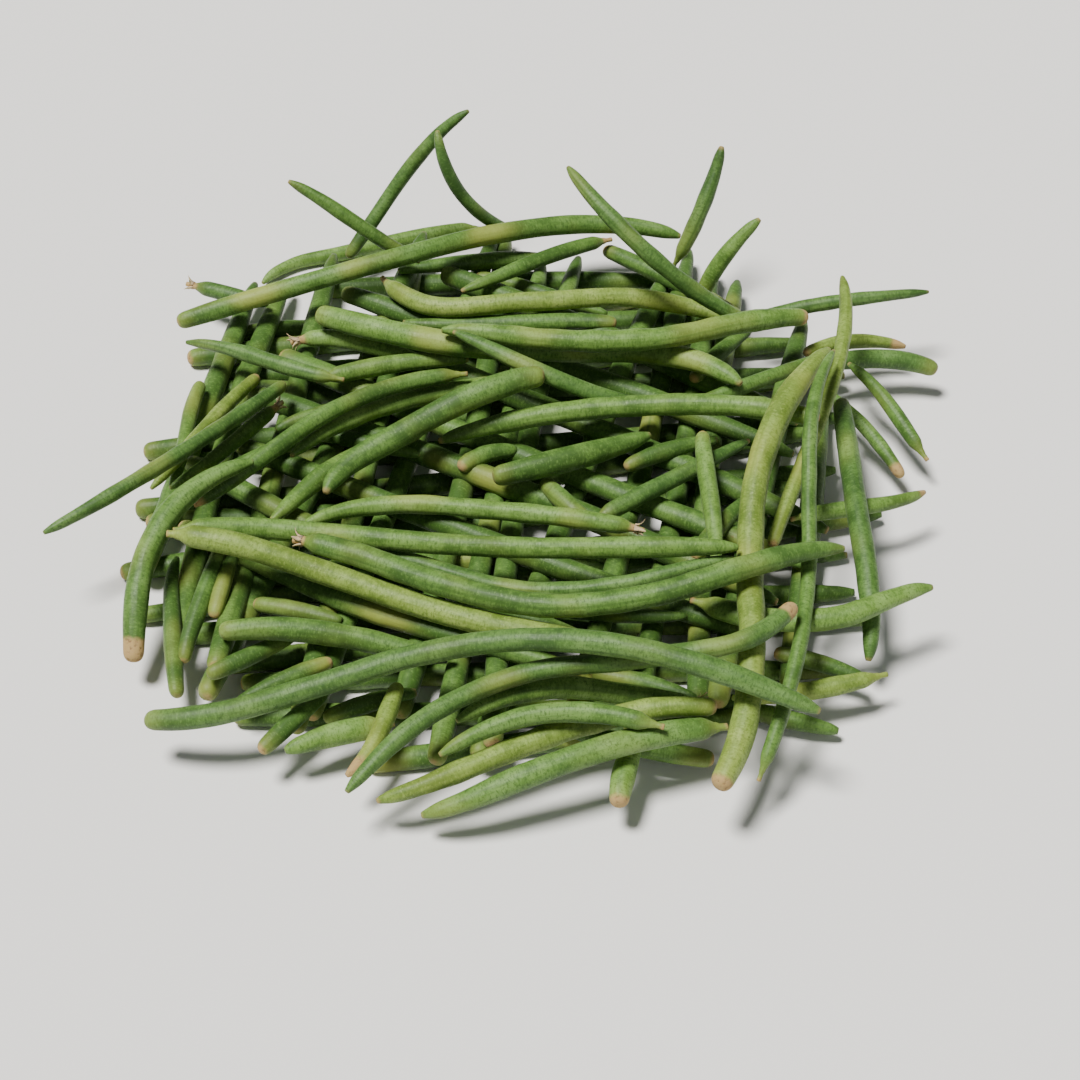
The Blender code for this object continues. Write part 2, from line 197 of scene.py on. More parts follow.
# The longest of them, their girths, and how much they differ in place, in turn and in bow
BED_LONGEST_MM = 200.0
BED_GIRTHS_MM = (6.4, 7.2)
BED_SHIFT_MM = 10.0
BED_TURN = 5.0
BED_BOW_MM = 6.0

# How often a buried pod's corners are rounded off, and how much its tint is lowered as painted shade
ROUNDING_PASSES = 10
BURIED_PAINTED_SHADE = 0.9

# Buried pods that show in the gaps: girth in millimetres, picture points from stem to tail
LOW_PODS = [
    (5.4, [(178, 702), (168, 650), (163, 605), (178, 556)]),
    (5.2, [(183, 668), (187, 625), (205, 572), (235, 520)]),
    (5.0, [(212, 622), (220, 592), (236, 545)]),
    (5.2, [(248, 603), (290, 608), (345, 622)]),
    (5.2, [(203, 688), (240, 672), (300, 645)]),
    (5.4, [(318, 722), (350, 707), (420, 692)]),
    (5.2, [(256, 756), (290, 722), (330, 690)]),
    (5.6, [(456, 472), (470, 457), (520, 450)]),
    (5.4, [(470, 277), (510, 280), (560, 297), (610, 315)]),
    (5.4, [(622, 324), (560, 320), (480, 326), (400, 322)]),
    (5.2, [(400, 398), (350, 404), (310, 413), (273, 431)]),
    (5.6, [(540, 478), (560, 500), (600, 530)]),
    (5.4, [(690, 562), (720, 525), (748, 498)]),
    (5.4, [(585, 672), (640, 680), (700, 700)]),
    (5.6, [(735, 706), (790, 720), (842, 732)]),
    (5.2, [(768, 652), (815, 660), (868, 680)]),
    (5.4, [(620, 470), (660, 450), (720, 440)]),
    (5.6, [(600, 248), (650, 268), (700, 292), (745, 318)]),
    (5.4, [(520, 600), (600, 622), (690, 622)]),
    (5.2, [(690, 385), (720, 350), (752, 330)]),
    (5.6, [(552, 262), (510, 256), (450, 262), (395, 274)]),
    (5.2, [(306, 434), (340, 434), (380, 445), (425, 455)]),
    (5.2, [(338, 660), (285, 678), (232, 706)]),
    (5.8, [(720, 760), (665, 756), (600, 745), (550, 718)]),
]

# Skin colours, linear: deep tone, main tone and pale tone of each slot
SKINS = {
    "pod_dark": ((0.034, 0.086, 0.013), (0.074, 0.160, 0.028), (0.135, 0.245, 0.060)),
    "pod_green": ((0.042, 0.100, 0.013), (0.092, 0.190, 0.030), (0.160, 0.280, 0.066)),
    "pod_light": ((0.058, 0.128, 0.016), (0.125, 0.235, 0.038), (0.205, 0.335, 0.084)),
    "pod_yellow": ((0.100, 0.165, 0.018), (0.190, 0.280, 0.046), (0.290, 0.380, 0.088)),
}
YELLOWING = (0.330, 0.360, 0.065)
DRY_TAN = (0.400, 0.270, 0.105)
DRY_BROWN = (0.115, 0.058, 0.024)
STRAW = (0.560, 0.420, 0.235)
SCAR = (0.150, 0.105, 0.038)
SPECK = (0.018, 0.045, 0.008)

# The floor: its size in metres, the heap's clearance over it, and its two pale tones
FLOOR_SIZE = 16.0
FLOOR_CLEARANCE_MM = 0.1
FLOOR_PALE = (0.80, 0.79, 0.77)
FLOOR_GREY = (0.74, 0.73, 0.71)

# The lights: where they stand in metres, their strengths and colours, and how soft they are
MAIN_LIGHT_PLACE = (-0.34, -0.06, 1.02)
MAIN_LIGHT_STRENGTH = 6.4
MAIN_LIGHT_COLOUR = (1.0, 0.985, 0.95)
MAIN_LIGHT_SOFTNESS = math.radians(16)
FRONT_LAMP_PLACE = (0.45, -0.85, 0.70)
FRONT_LAMP_STRENGTH = 1.6
FRONT_LAMP_COLOUR = (0.97, 0.98, 1.0)
FRONT_LAMP_SIZE = 0.8
SURROUND_COLOUR = (0.90, 0.94, 1.0, 1.0)
SURROUND_STRENGTH = 0.11


class Value:
    """What an output of a shader node carries. Sums and products of it are Math nodes."""

    def __init__(self, skin, socket):
        self.skin = skin
        self.socket = socket

    def math(self, operation, *others):
        """A Math node on this value and the others."""
        return self.skin.node("ShaderNodeMath", {"operation": operation}, dict(enumerate((self, *others))))

    def __add__(self, other):
        return self.math("ADD", other)

    def __sub__(self, other):
        return self.math("SUBTRACT", other)

    def __rsub__(self, other):
        return self.skin.node("ShaderNodeMath", {"operation": "SUBTRACT"}, {0: other, 1: self})

    def __mul__(self, other):
        return self.math("MULTIPLY", other)

    __radd__ = __add__
    __rmul__ = __mul__

    def step(self, low, high):
        """0 up to low and 1 beyond high, with a smooth change between. Low may be the greater one."""
        settings = {"interpolation_type": "SMOOTHSTEP"}
        sockets = {"Value": self, "From Min": low, "From Max": high}
        return self.skin.node("ShaderNodeMapRange", settings, sockets)

    def part(self, axis):
        """One of the three numbers of a vector."""
        return self.skin.node("ShaderNodeSeparateXYZ", {}, {"Vector": self}, output=axis)

    def parts(self):
        """All three numbers of a vector."""
        return [self.part(axis) for axis in "XYZ"]


class Skin:
    """A material and the nodes that make its looks."""

    def __init__(self, name):
        self.material = bpy.data.materials.new(name)
        self.material.use_nodes = True
        self.nodes = self.material.node_tree.nodes
        self.links = self.material.node_tree.links
        self.shader = self.nodes["Principled BSDF"]

    def plug(self, socket, value):
        """Sets a socket to a number, a vector or a colour, or links it to another node's value."""
        if isinstance(value, Value):
            self.links.new(value.socket, socket)
        elif socket.type == "RGBA":
            socket.default_value = (*value, 1.0)
        else:
            socket.default_value = value

    def node(self, kind, settings, sockets, output=0):
        """Adds a node: its settings come first, then the values or links of its sockets."""
        made = self.nodes.new(kind)
        for name, value in settings.items():
            setattr(made, name, value)
        for name, value in sockets.items():
            self.plug(made.inputs[name], value)
        return Value(self, made.outputs[output])

    def mix(self, share, first, second):
        """The first colour, changing to the second as share goes from 0 to 1."""
        return self.node("ShaderNodeMix", {"data_type": "RGBA"}, {0: share, 6: first, 7: second}, output=2)

    def attribute(self, name):
        """A vector that the mesh carries."""
        return self.node("ShaderNodeAttribute", {"attribute_name": name}, {}, output="Vector")

    def stretched(self, vector, scale):
        """A vector scaled along each axis."""
        return self.node("ShaderNodeVectorMath", {"operation": "MULTIPLY"}, {0: vector, 1: scale})

    def noise(self, vector, scale=1.0, detail=2.0, roughness=0.5):
        """Smooth noise round one half."""
        sockets = {"Vector": vector, "Scale": scale, "Detail": detail, "Roughness": roughness}
        return self.node("ShaderNodeTexNoise", {}, sockets)

    def set(self, **values):
        """Values of the shader's own sockets. A name's underscores are spaces."""
        for name, value in values.items():
            self.plug(self.shader.inputs[name.replace("_", " ")], value)


def pod_skin(slot):
    """Waxy pod skin: mottled green, paler blotches, fine cross flecks, seams, dry tips and a few scars."""
    deep, main, pale = SKINS[slot]
    skin = Skin(slot)
    place = skin.attribute("skin")
    across = place.part("Z")
    stem, tail, papery = skin.attribute("ends").parts()
    tint, yellowing, wear = skin.attribute("own").parts()
    stem_tan, tail_tan, seam_darkness = skin.attribute("marks").parts()

    blotches = skin.noise(place, scale=0.055)
    clouds = skin.noise(place, scale=0.22, detail=3.0, roughness=0.6)
    flecks = skin.noise(skin.stretched(place, (1.7, 0.8, 0.8)), detail=3.0, roughness=0.7)
    specks = skin.noise(skin.stretched(place, (1.0, 1.5, 1.5)), scale=1.3, roughness=0.6)
    streaks = skin.noise(skin.stretched(place, (0.10, 1.1, 1.1)), roughness=0.6)

    # The tint is random on visible pods; on buried pods it is lowered as painted shade that darkens them
    tone = blotches.step(0.30, 0.70) * 0.55 + clouds.step(0.35, 0.65) * 0.30 + tint * 0.30 - 0.07
    colour = skin.mix(tone.step(0.10, 0.55), deep, main)
    colour = skin.mix(tone.step(0.50, 1.00) * 0.85, colour, pale)
    colour = skin.mix(flecks.step(0.52, 0.68) * 0.50, colour, pale)
    colour = skin.mix(flecks.step(0.50, 0.34) * 0.80, colour, deep)
    colour = skin.mix(streaks.step(0.48, 0.30) * 0.40, colour, deep)
    colour = skin.mix(specks.step(0.42, 0.30) * 0.40, colour, SPECK)

    yellow_patches = skin.noise(place, scale=0.04, detail=1.0).step(0.50, 0.72) * yellowing
    colour = skin.mix(yellow_patches * 0.7, colour, YELLOWING)
    seam = 1.0 - across.math("ABSOLUTE").step(0.10, 0.55)
    colour = skin.mix(seam * seam_darkness * 0.5, colour, deep)

    ragged = (clouds - 0.5) * 5.0
    near_stem = 1.0 - (stem + ragged).step(1.0, 9.0)
    colour = skin.mix(near_stem * 0.35, colour, YELLOWING)
    scuffs = skin.noise(skin.stretched(place, (0.16, 0.34, 0.34)), detail=4.0, roughness=0.7)
    scars = scuffs.step(0.70, 0.76) * wear
    colour = skin.mix(scars * 0.8, colour, SCAR)
    stem_dry = 1.0 - (stem + ragged * 0.5 - stem_tan).step(-0.8, 0.8)
    tail_dry = 1.0 - (tail + ragged * 0.5 - tail_tan).step(-1.2, 1.2)
    dried = stem_dry.math("MAXIMUM", tail_dry)
    browned = skin.noise(place, scale=0.75, detail=3.0, roughness=0.7).step(0.50, 0.80)
    colour = skin.mix(dried, colour, skin.mix(browned, DRY_TAN, DRY_BROWN))
    colour = skin.mix(papery, colour, skin.mix(browned * 0.7, STRAW, DRY_BROWN))

    rough = 0.54 + (clouds - 0.5) * 0.25 + (0.5 - flecks) * 0.30
    rough = rough + dried * 0.25 + papery * 0.30 + scars * 0.15
    relief = clouds * 0.5 + flecks * 0.4 + streaks * 0.5 - scars * 0.3 + browned * (dried + papery) * 0.8
    normal = skin.node("ShaderNodeBump", {}, {"Strength": 0.7, "Distance": 0.0003, "Height": relief})
    skin.set(Base_Color=colour, Roughness=rough, Normal=normal)
    skin.set(Subsurface_Weight=0.12, Subsurface_Radius=(0.45, 0.80, 0.20), Subsurface_Scale=0.0022)
    skin.set(Specular_IOR_Level=0.32, Sheen_Weight=0.04, Sheen_Roughness=0.50)
    return skin.material


def floor_skin():
    """Pale, matt floor with a very faint unevenness."""
    skin = Skin("pale_floor")
    place = skin.node("ShaderNodeTexCoord", {}, {}, output="Object")
    tone = skin.noise(place, scale=9.0, detail=4.0)
    skin.set(Base_Color=skin.mix(tone * 0.25, FLOOR_PALE, FLOOR_GREY), Roughness=0.75)
    return skin.material


def welded(mesh):
    """A copy of a mesh with its split corners joined, and the mesh's points as an array."""
    form = bmesh.new()
    form.from_mesh(mesh)
    bmesh.ops.remove_doubles(form, verts=form.verts, dist=WELD)
    form.verts.index_update()
    form.verts.ensure_lookup_table()
    return form, np.array([vertex.co for vertex in form.verts])


def rings_of(node):
    """The rings of a pod's solid in the frame, from stem to tail: centres and radii."""
    form, points = welded(node.data)
    centred = points - points.mean(axis=0)
    axis = np.linalg.svd(centred, full_matrices=False)[2][0]
    order = np.argsort(centred @ axis)
    # The ring at the stem is wider than the one at the tail
    end_rings = order[:FRAME_SIDES], order[-FRAME_SIDES:]
    stem = max(end_rings, key=lambda ring: np.ptp(points[ring], axis=0).max())
    rings = [set(stem.tolist())]
    seen = set(rings[0])
    while len(seen) < len(points):
        beside = {edge.other_vert(form.verts[corner]).index
                  for corner in rings[-1] for edge in form.verts[corner].link_edges}
        rings.append(beside - seen)
        seen |= rings[-1]
    form.free()
    centres = np.array([points[list(ring)].mean(axis=0) for ring in rings])
    radii = [np.linalg.norm(points[list(ring)] - centre, axis=1).mean()
             for ring, centre in zip(rings, centres)]
    return centres, np.array(radii)


def smoothed(knots, values, places):
    """Values at the places, on a smooth line through the knots."""
    slopes = np.gradient(values, knots, axis=0)
    index = np.clip(np.searchsorted(knots, places) - 1, 0, len(knots) - 2)
    span = knots[index + 1] - knots[index]
    share = (places - knots[index]) / span
    if values.ndim == 2:
        span, share = span[:, None], share[:, None]
    rise = values[index + 1] - values[index]
    bend_in = slopes[index] * span - rise
    bend_out = rise - slopes[index + 1] * span
    return values[index] + share * rise + share * (1 - share) * ((1 - share) * bend_in + share * bend_out)


def blend_between(low, high, places):
    """0 up to low, 1 from high on, and a smooth rise between."""
    share = np.clip((places - low) / (high - low), 0.0, 1.0)
    return share * share * (3 - 2 * share)


def directions(centre, places):
    """Along, aside and up at each place of a pod's centre line."""
    along = np.gradient(centre, places, axis=0)
    along /= np.linalg.norm(along, axis=1)[:, None]
    side = np.cross(along, (0.0, 0.0, 1.0))
    side /= np.linalg.norm(side, axis=1)[:, None]
    return along, side, np.cross(side, along)


def tube_faces(first, rings, sides, mirrored=False):
    """The faces of a tube of rings, whose points follow one another from the number first on."""
    faces = []
    for ring in range(rings - 1):
        for corner in range(sides):
            here = first + ring * sides + corner
            beside = first + ring * sides + (corner + 1) % sides
            if mirrored:
                here, beside = beside, here
            faces.append((here, beside, beside + sides, here + sides))
    return faces


class Pod:
    """One whole bean, modelled round its centre line, which runs from stem to tail.

    Its points carry four vectors for its skin, with lengths in millimetres. skin is the place along
    the pod and the place across it, turned so that the seams are where the last number is 0. ends is
    the distance from the stem end, the one from the tail, and 1 on a papery cup. own is the pod's
    tint, yellowing and wear; on buried pods the tint is lowered as painted shade. marks is how far
    the tan runs in from the stem end and from the tail, and how dark the seams are.
    """

    def __init__(self, seed, centres, radii, fineness, stem_style="snapped", tan=(None, None)):
        self.draw = np.random.default_rng(seed)
        self.sides, self.body_step, self.tip_step = fineness
        runs = np.linalg.norm(np.diff(centres, axis=0), axis=1)
        self.knots = np.concatenate([[0.0], np.cumsum(runs)]) / MM
        self.centres = centres
        self.radii = radii
        self.full_radius = radii.max()
        self.length = self.knots[-1]
        self.filled_out = min(FILLING_OUT_MM, FILLING_OUT_SHARE * self.length)
        self.stem_style = stem_style
        self.start = SNAPPED_START_MM if stem_style == "snapped" else 0.0
        self.roll = self.draw.uniform(0, 2 * math.pi)
        self.flatness = self.draw.uniform(*FLATNESS)
        self.swelling = self.draw.uniform(*SEED_SWELLING)
        self.points = []
        self.faces = []
        self.skin = []
        self.ends = []
        traces = self.draw.uniform(*TRACE_OF_TAN_MM, 2)
        stem_tan, tail_tan = (trace if given is None else given for given, trace in zip(tan, traces))
        self.marks = (self.start + stem_tan, tail_tan, self.draw.uniform(*SEAM_DARKNESS))
        self.own = self.draw.uniform(0.0, 1.0, 3)

    def stations(self):
        """Distances along the pod, in millimetres, where it gets a ring of points."""
        if self.stem_style == "snapped":
            turns = np.linspace(0.0, math.pi / 2, DOME_STEPS)[1:]
            stem_end = self.start + DOME_LENGTH_MM * (1 - np.cos(turns))
        else:
            stem_end = np.arange(STALK_RING_MM, SHOULDER_END_MM, self.tip_step)
        body_end = self.length - TAIL_LENGTH_MM
        body_rings = round((body_end - stem_end[-1]) / self.body_step)
        body = np.linspace(stem_end[-1] + BODY_RING_MM, body_end, body_rings)
        tail = np.arange(body_end + self.tip_step, self.length - TAIL_RING_MM, self.tip_step)
        return np.concatenate([stem_end, body, tail])

    def thickness(self, places):
        """The radius at each place: the centre line's taper, with a finished stem end and tail."""
        taper = smoothed(self.knots, self.radii, places)
        filling = blend_between(self.start, self.filled_out, places)
        full = self.full_radius * (NECK_SHARE + (1 - NECK_SHARE) * filling)
        if self.stem_style == "snapped":
            inside = np.clip((places - self.start) / DOME_LENGTH_MM, 0.0, 1.0)
            stem_end = full * (1 - (1 - inside) ** DOME_SQUARENESS) ** (1 / DOME_SQUARENESS)
        else:
            rim = RIM_SHARE * np.exp(-((places - STALK_LENGTH_MM) / RIM_WIDTH_MM) ** 2)
            stalk = self.full_radius * (STALK_SHARE + rim)
            shoulder = blend_between(SHOULDER_START_MM, SHOULDER_END_MM, places) ** SHOULDER_FULLNESS
            stem_end = stalk + (full - stalk) * shoulder
        radius = np.where(places < self.filled_out, stem_end, taper)
        tip = np.clip((self.length - places) / TAIL_ROUNDING_MM, 0.0, 1.0)
        return np.minimum(radius, self.full_radius) * np.sqrt(1 - (1 - tip) ** 2)

    def uneven_share(self, places):
        """The share of the radius that is left at each place of a pod that wavers along its length."""
        steps = np.arange(0, self.length + UNEVEN_STEP_MM, UNEVEN_STEP_MM)
        uneven = self.draw.uniform(-UNEVENNESS, UNEVENNESS, len(steps))
        return INSIDE_SHARE + np.interp(places, steps, uneven)

    def seeds(self, places):
        """How much the seeds inside fill the pod out at each place, from 0 between seeds to about 1."""
        count = max(2, round((self.length - SEEDLESS_MM) / self.draw.uniform(*SEED_SPACING_MM)))
        first = min(FIRST_SEED_MM, FIRST_SEED_SHARE * self.length)
        last = max(self.length - LAST_SEED_MM, LAST_SEED_SHARE * self.length)
        shifts = self.draw.uniform(-SEED_SHIFT_MM, SEED_SHIFT_MM, count)
        middles = np.linspace(first, last, count) + shifts
        sizes = self.draw.uniform(*SEED_SIZES, count)
        return sum(size * np.exp(-((places - middle) / SEED_LENGTH_MM) ** 2)
                   for middle, size in zip(middles, sizes))

    def section(self, from_seam, seeds):
        """The pod's outline across, as shares of its radius, at angles from one of its two seams."""
        flank = np.sin(from_seam) ** 2
        outline = 1 - self.flatness * flank * (1 - SEED_FILLING * seeds)
        outline += self.swelling * (seeds - 0.5) * flank
        from_nearest = np.mod(from_seam + SEAM_REACH, math.pi) - SEAM_REACH
        return outline - SEAM_DEPTH * np.exp(-(from_nearest / SEAM_WIDTH) ** 2)

    def add_body(self):
        """Adds the pod's skin from tip to tip, and gives the foot of its stalk and the directions there."""
        places = self.stations()
        centre = smoothed(self.knots, self.centres, places)
        along, side, up = directions(centre, places)
        radius = self.thickness(places) * self.uneven_share(places)
        seeds = self.seeds(places)[:, None]
        turn = np.linspace(0, 2 * math.pi, self.sides, endpoint=False)[None, :]
        winding = SEAM_WINDING * np.sin(places / self.length * SEAM_WAVE)
        from_seam = turn - self.roll - winding[:, None]
        reach = radius[:, None] * self.section(from_seam, seeds)
        outward = side[:, None, :] * np.cos(turn)[:, :, None] + up[:, None, :] * np.sin(turn)[:, :, None]
        ring_points = centre[:, None, :] + reach[:, :, None] * outward
        along_the_pod = np.broadcast_to(places[:, None], reach.shape)
        across_the_pod = reach / MM * np.cos(from_seam), reach / MM * np.sin(from_seam)
        end_distances = np.stack([places, self.length - places, 0 * places], axis=1)
        self.points.extend(ring_points.reshape(-1, 3))
        self.skin.extend(np.stack([along_the_pod, *across_the_pod], axis=2).reshape(-1, 3))
        self.ends.extend(np.repeat(end_distances, self.sides, axis=0))
        self.faces.extend(tube_faces(0, len(places), self.sides))
        last = (len(places) - 1) * self.sides
        self.add_tip(centre[0] - along[0] * TIP_POINT_MM * MM, range(self.sides), self.start, True)
        self.add_tip(centre[-1] + along[-1] * TIP_POINT_MM * MM, range(last, last + self.sides),
                     self.length, False)
        stalk_foot = smoothed(self.knots, self.centres, np.array([STALK_LENGTH_MM]))[0]
        return stalk_foot, along[0], side[0], up[0]

    def add_tip(self, point, ring, place, at_stem):
        """A point that closes an end ring."""
        tip = len(self.points)
        self.points.append(point)
        self.skin.append((place, 0.0, 0.0))
        self.ends.append((place, self.length - place, 0.0))
        ring = list(ring)
        for corner, after in zip(ring, ring[1:] + ring[:1]):
            self.faces.append((after, corner, tip) if at_stem else (corner, after, tip))

    def add_cup(self, foot, along, side, up):
        """The dry flower cup: curled papery lobes round the stalk."""
        shifts = self.draw.uniform(-LOBE_SHIFT, LOBE_SHIFT, CUP_LOBES)
        for turn in np.linspace(0, 2 * math.pi, CUP_LOBES, endpoint=False) + shifts:
            out = side * math.cos(turn) + up * math.sin(turn)
            length = self.draw.uniform(*LOBE_LENGTHS_MM) * MM
            curl = self.draw.uniform(*LOBE_CURLS)
            self.add_lobe(foot, -along, out, np.cross(along, out), length, curl)

    def add_lobe(self, foot, forward, out, across, length, curl):
        """One thin lobe of the cup, tapering to a curled tip."""
        first = len(self.points)
        for share in np.linspace(0, 1, LOBE_RINGS):
            middle = foot + out * (self.full_radius * LOBE_FOOT_SHARE)
            middle = middle + forward * length * share * math.cos(curl * share)
            middle = middle + out * length * math.sin(curl * share) * share
            half_width = self.full_radius * LOBE_WIDTH_SHARE * (1 - share) ** LOBE_TAPER + LOBE_TIP_MM * MM
            thickness = self.full_radius * LOBE_THICKNESS_SHARE
            for shift in (across * half_width, out * thickness, -across * half_width, -out * thickness):
                self.points.append(middle + shift)
                self.skin.append((share * length / MM, shift[0] / MM, shift[1] / MM))
                self.ends.append(CUP_ENDS)
        self.faces.extend(tube_faces(first, LOBE_RINGS, LOBE_SIDES, mirrored=True))
        last = first + (LOBE_RINGS - 1) * LOBE_SIDES
        self.faces.append(tuple(range(first, first + LOBE_SIDES)))
        self.faces.append(tuple(reversed(range(last, last + LOBE_SIDES))))

    def build(self):
        """Makes the pod's points and faces."""
        stem = self.add_body()
        if self.stem_style == "cupped":
            self.add_cup(*stem)


def store(mesh, name, vectors):
    """Stores a vector for each point of a mesh."""
    attribute = mesh.attributes.new(name, "FLOAT_VECTOR", "POINT")
    attribute.data.foreach_set("vector", np.asarray(vectors, dtype=np.float32).ravel())


def as_piece(name, pods, material):
    """One piece of one or more pods, with what its material reads stored on its points."""
    points, faces = [], []
    carried = {"skin": [], "ends": [], "own": [], "marks": []}
    for pod in pods:
        pod.build()
        first = len(points)
        faces.extend(tuple(first + corner for corner in face) for face in pod.faces)
        points.extend(pod.points)
        carried["skin"].extend(np.array(pod.skin) + (pod.own.sum() * SKIN_SPREAD_MM, 0.0, 0.0))
        carried["ends"].extend(pod.ends)
        carried["own"].extend([pod.own] * len(pod.points))
        carried["marks"].extend([pod.marks] * len(pod.points))
    points = np.array(points)
    points[:, 2] = np.maximum(points[:, 2], FLOOR_CLEARANCE_MM * MM)
    mesh = bpy.data.meshes.new(name)
    mesh.from_pydata(points, [], faces)
    mesh.shade_smooth()
    for attribute, vectors in carried.items():
        store(mesh, attribute, vectors)
    mesh.materials.append(material)
    piece = bpy.data.objects.new(name, mesh)
    bpy.context.scene.collection.objects.link(piece)
    return piece


def plan_distances(points):
    """How far along a line in plan each of its points is."""
    return np.concatenate([[0.0], np.cumsum(np.hypot(*np.diff(points, axis=0).T))])


class Line:
    """The line that a buried pod lies along: its plan path, and heights that laying gives it."""

    def __init__(self, girth, points):
        points = np.array(points, dtype=float)
        steps = plan_distances(points)
        share = steps / steps[-1]
        degree = min(PATH_DEGREE, len(points) - 1)
        fine = np.linspace(0.0, 1.0, PATH_POINTS)
        path = np.stack([np.polyval(np.polyfit(share, column, degree), fine) for column in points.T], axis=1)
        run = plan_distances(path)
        self.girth = girth
        self.length = run[-1]
        count = max(2, round((self.length - 2 * RUN_END_MM) / RUN_STEP_MM) + 1)
        inner_rings = np.linspace(RUN_END_MM, self.length - RUN_END_MM, count)
        self.rings = np.concatenate([[0.0], inner_rings, [self.length]])
        self.drawn = np.stack([np.interp(self.rings, run, column) for column in path.T], axis=1)
        self.plan = self.drawn
        self.radii = np.full(len(self.rings), girth / 2)
        self.radii[[0, -1]] *= RUN_END_SHARE
        self.heights = np.zeros(len(self.rings))

    def samples(self):
        """Closely spaced points along the straight runs between rings: distance, x, y, z, radius."""
        distance = np.linspace(0.0, self.length, round(self.length / LAYING_STEP_MM) + 1)
        columns = [self.plan[:, 0], self.plan[:, 1], self.heights, self.radii]
        return distance, *(np.interp(distance, self.rings, column) for column in columns)

    def lay(self, laid):
        """Lowers the pod until it rests, bending softly, on the surface and the pods laid so far."""
        distance, x, y, _, radius = self.samples()
        lowest = radius.copy()
        if len(laid):
            apart = np.hypot(x[:, None] - laid[None, :, 0], y[:, None] - laid[None, :, 1])
            reach = radius[:, None] + laid[None, :, 3] - SINK_MM
            above = laid[None, :, 2] + np.sqrt(np.maximum(reach ** 2 - apart ** 2, 0.0))
            lowest = np.maximum(lowest, np.where(apart < reach, above, 0.0).max(axis=1))
        if np.all(lowest == radius):
            self.heights[:] = self.girth / 2 * LOWEST_SHARE
            return
        self.heights = np.interp(self.rings, distance, drape(distance, lowest))
        sunk = lowest - self.samples()[3]
        self.heights += max(0.0, sunk.max())

    def in_sight(self, heights):
        """Where one of the low pods lies in plan when it is at these heights."""
        eye = eye_place()
        rise = (heights - LOOKED_AT_HEIGHT_MM) / (eye[2] - LOOKED_AT_HEIGHT_MM)
        return self.drawn + (eye[:2] - self.drawn) * rise[:, None]

    def settle(self, laid):
        """Lays one of the low pods, moving it along its lines of sight from the surface upwards."""
        self.plan = self.in_sight(self.radii)
        for _ in range(SETTLING_ROUNDS):
            self.lay(laid)
            self.plan = self.plan + SETTLING_SHARE * (self.in_sight(self.heights) - self.plan)
        self.lay(laid)

    def as_pod(self, seed):
        """The pod along this line, its corners rounded off and its tint lowered as painted shade."""
        distance, x, y, z, _ = self.samples()
        centres = np.stack([x - HEAP_MIDDLE_MM[0], y - HEAP_MIDDLE_MM[1], z], axis=1) * MM
        for _ in range(ROUNDING_PASSES):
            centres[1:-1] = centres[1:-1] / 2 + (centres[:-2] + centres[2:]) / 4
        squeeze = min(1.0, self.length / (2 * BURIED_TAIL[-1][0]))
        tail = np.interp((self.length - distance) / squeeze, *zip(*BURIED_TAIL))
        pod = Pod(seed, centres, self.girth / 2 * tail * MM, BURIED)
        # Buried pods get a lower tint: painted shade that darkens the gaps under the pods on top
        pod.own[0] -= BURIED_PAINTED_SHADE
        return pod


def falls(places, supports):
    """How far a pod that bends as tightly as it can drops from each support to each place."""
    return (places[:, None] - supports[None, :]) ** 2 / (2 * BEND_RADIUS_MM)


def drape(distance, lowest):
    """The lowest line over these heights that nowhere bends tighter, up or down, than a pod."""
    length = distance[-1]
    beyond_ends = np.linspace(-length, 2 * length, 3 * len(distance) - 2)
    over = (lowest[None, :] - falls(distance, distance)).max(axis=1)
    bridged = (over[None, :] - falls(beyond_ends, distance)).max(axis=1)
    return (bridged[None, :] + falls(distance, beyond_ends)).min(axis=1)


def eye_place():
    """Where the eye is, in millimetres from the point below the one that it looks at."""
    away = VIEW_DISTANCE_MM * math.cos(VIEW_ELEVATION)
    return np.array([0.0, -away, LOOKED_AT_HEIGHT_MM + VIEW_DISTANCE_MM * math.sin(VIEW_ELEVATION)])


def on_picture(picture_points):
    """Where the sight lines of picture points cross the height that the eye looks at, in plan."""
    right, down = ((np.array(picture_points) - PICTURE_MIDDLE) / FOCAL).T
    forward = math.cos(VIEW_ELEVATION) - down * math.sin(VIEW_ELEVATION)
    fall = math.sin(VIEW_ELEVATION) + down * math.cos(VIEW_ELEVATION)
    eye = eye_place()
    run = (eye[2] - LOOKED_AT_HEIGHT_MM) / fall
    return np.stack([eye[0] + right * run, eye[1] + forward * run], axis=1)


def layered_lines():
    """The lines of the crossed layers, side by side with small differences in place and turn."""
    draw = np.random.default_rng(BED_SEED)
    lines = []
    for count, spacing, reach, heading, centre in BED_LAYERS:
        for number in range(count):
            aside = (number - (count - 1) / 2) * spacing
            turn = math.radians(heading + draw.uniform(-BED_TURN, BED_TURN))
            along = np.array([math.cos(turn), math.sin(turn)])
            across = np.array([-math.sin(turn), math.cos(turn)])
            middle = centre + across * aside + along * draw.uniform(-BED_SHIFT_MM, BED_SHIFT_MM)
            half = along * min(BED_LONGEST_MM / 2, math.sqrt(reach ** 2 - aside ** 2))
            points = [middle - half, middle + across * draw.uniform(-BED_BOW_MM, BED_BOW_MM), middle + half]
            lines.append(Line(draw.uniform(*BED_GIRTHS_MM), points))
    return lines


def buried_pods():
    """Every buried pod, each laid on the ones before, just as the frame's fused solid has them."""
    laid = np.empty((0, 4))
    lines = layered_lines()
    for line in lines:
        line.lay(laid)
        laid = np.concatenate([laid, np.stack(line.samples()[1:], axis=1)])
    for girth, picture_points in LOW_PODS:
        line = Line(girth, on_picture(picture_points))
        line.settle(laid)
        laid = np.concatenate([laid, np.stack(line.samples()[1:], axis=1)])
        lines.append(line)
    return [line.as_pod(BURIED_SEED + number) for number, line in enumerate(lines)]


def stem_style(number):
    """How the stem end of a visible pod looks."""
    if number in CUPPED_STEMS:
        return "cupped"
    return "stalked" if number in STALKED_STEMS else "snapped"


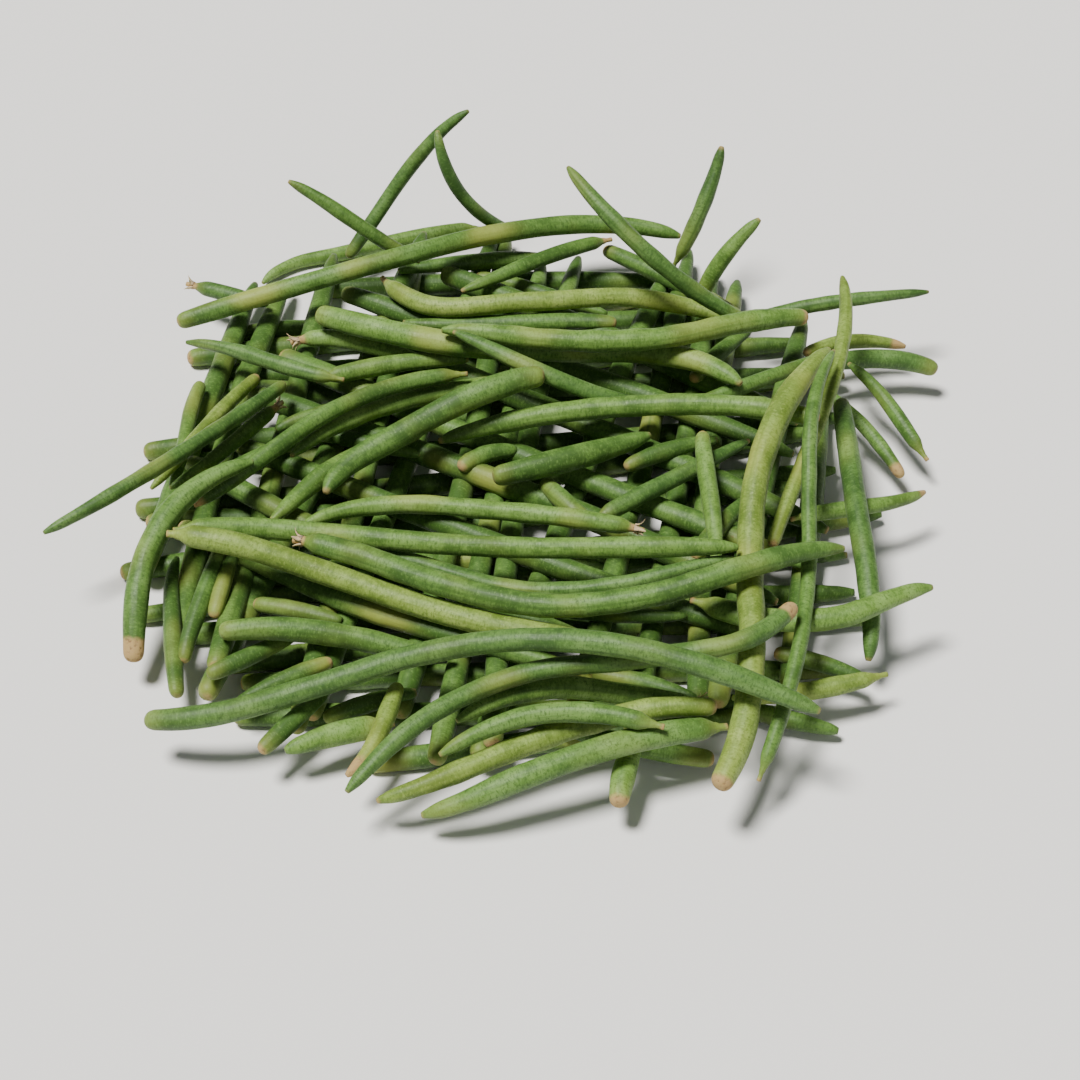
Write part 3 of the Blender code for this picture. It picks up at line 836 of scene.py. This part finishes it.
def dress():
    """Every pod and the buried layers, each in the finish of its slot."""
    skins = {slot: pod_skin(slot) for slot in SKINS}
    slots = {part["node"]: part["material_slot"] for part in frame["record"]["subparts"]}
    for name, node in sorted(frame["nodes"].items()):
        if name == BURIED_NODE:
            pods = buried_pods()
            piece_name = "buried_pods"
        else:
            number = int(name.rsplit("_", 1)[1])
            tan = TAN_STEMS_MM.get(number), TAN_TAILS_MM.get(number)
            pods = [Pod(POD_SEED + number, *rings_of(node), FINE, stem_style(number), tan)]
            piece_name = f"pod_{number:02d}"
        piece = as_piece(piece_name, pods, skins[slots[name]])
        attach(piece, "root")
        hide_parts(name)


def add_floor():
    """A wide pale floor, just under the heap."""
    bpy.ops.mesh.primitive_plane_add(size=FLOOR_SIZE, location=(0.0, 0.0, 0.0))
    floor = bpy.context.object
    floor.name = "floor"
    floor.data.materials.append(floor_skin())


def add_lamp(data, place, strength, colour):
    """A lamp that faces the heap from a place."""
    data.energy = strength
    data.color = colour
    lamp = bpy.data.objects.new(data.name, data)
    lamp.location = place
    lamp.rotation_euler = (VIEW_TARGET - Vector(place)).to_track_quat("-Z", "Y").to_euler()
    bpy.context.scene.collection.objects.link(lamp)


def add_lights():
    """Soft light from high at the left, a weak wide lamp in front and an even pale surround."""
    main = bpy.data.lights.new("main_light", "SUN")
    main.angle = MAIN_LIGHT_SOFTNESS
    add_lamp(main, MAIN_LIGHT_PLACE, MAIN_LIGHT_STRENGTH, MAIN_LIGHT_COLOUR)
    front = bpy.data.lights.new("front_lamp", "AREA")
    front.shape = "SQUARE"
    front.size = FRONT_LAMP_SIZE
    add_lamp(front, FRONT_LAMP_PLACE, FRONT_LAMP_STRENGTH, FRONT_LAMP_COLOUR)
    world = bpy.data.worlds.new("surround")
    world.use_nodes = True
    background = world.node_tree.nodes["Background"]
    background.inputs["Color"].default_value = SURROUND_COLOUR
    background.inputs["Strength"].default_value = SURROUND_STRENGTH
    bpy.context.scene.world = world


def add_camera():
    """The camera at the picture's own viewing angle."""
    data = bpy.data.cameras.new("camera")
    data.sensor_width = SENSOR_MM
    data.lens = SENSOR_MM * FOCAL / PICTURE_SIZE
    data.shift_x = (PICTURE_SIZE / 2 - PICTURE_MIDDLE[0]) / PICTURE_SIZE
    data.shift_y = (PICTURE_MIDDLE[1] - PICTURE_SIZE / 2) / PICTURE_SIZE
    camera = bpy.data.objects.new("camera", data)
    back = Vector((0.0, -math.cos(VIEW_ELEVATION), math.sin(VIEW_ELEVATION)))
    camera.location = VIEW_TARGET + back * VIEW_DISTANCE_MM * MM
    camera.rotation_euler = (math.pi / 2 - VIEW_ELEVATION, 0.0, 0.0)
    bpy.context.scene.collection.objects.link(camera)
    bpy.context.scene.camera = camera


add_camera()
dress()
add_floor()
add_lights()

bpy.context.view_layer.update()
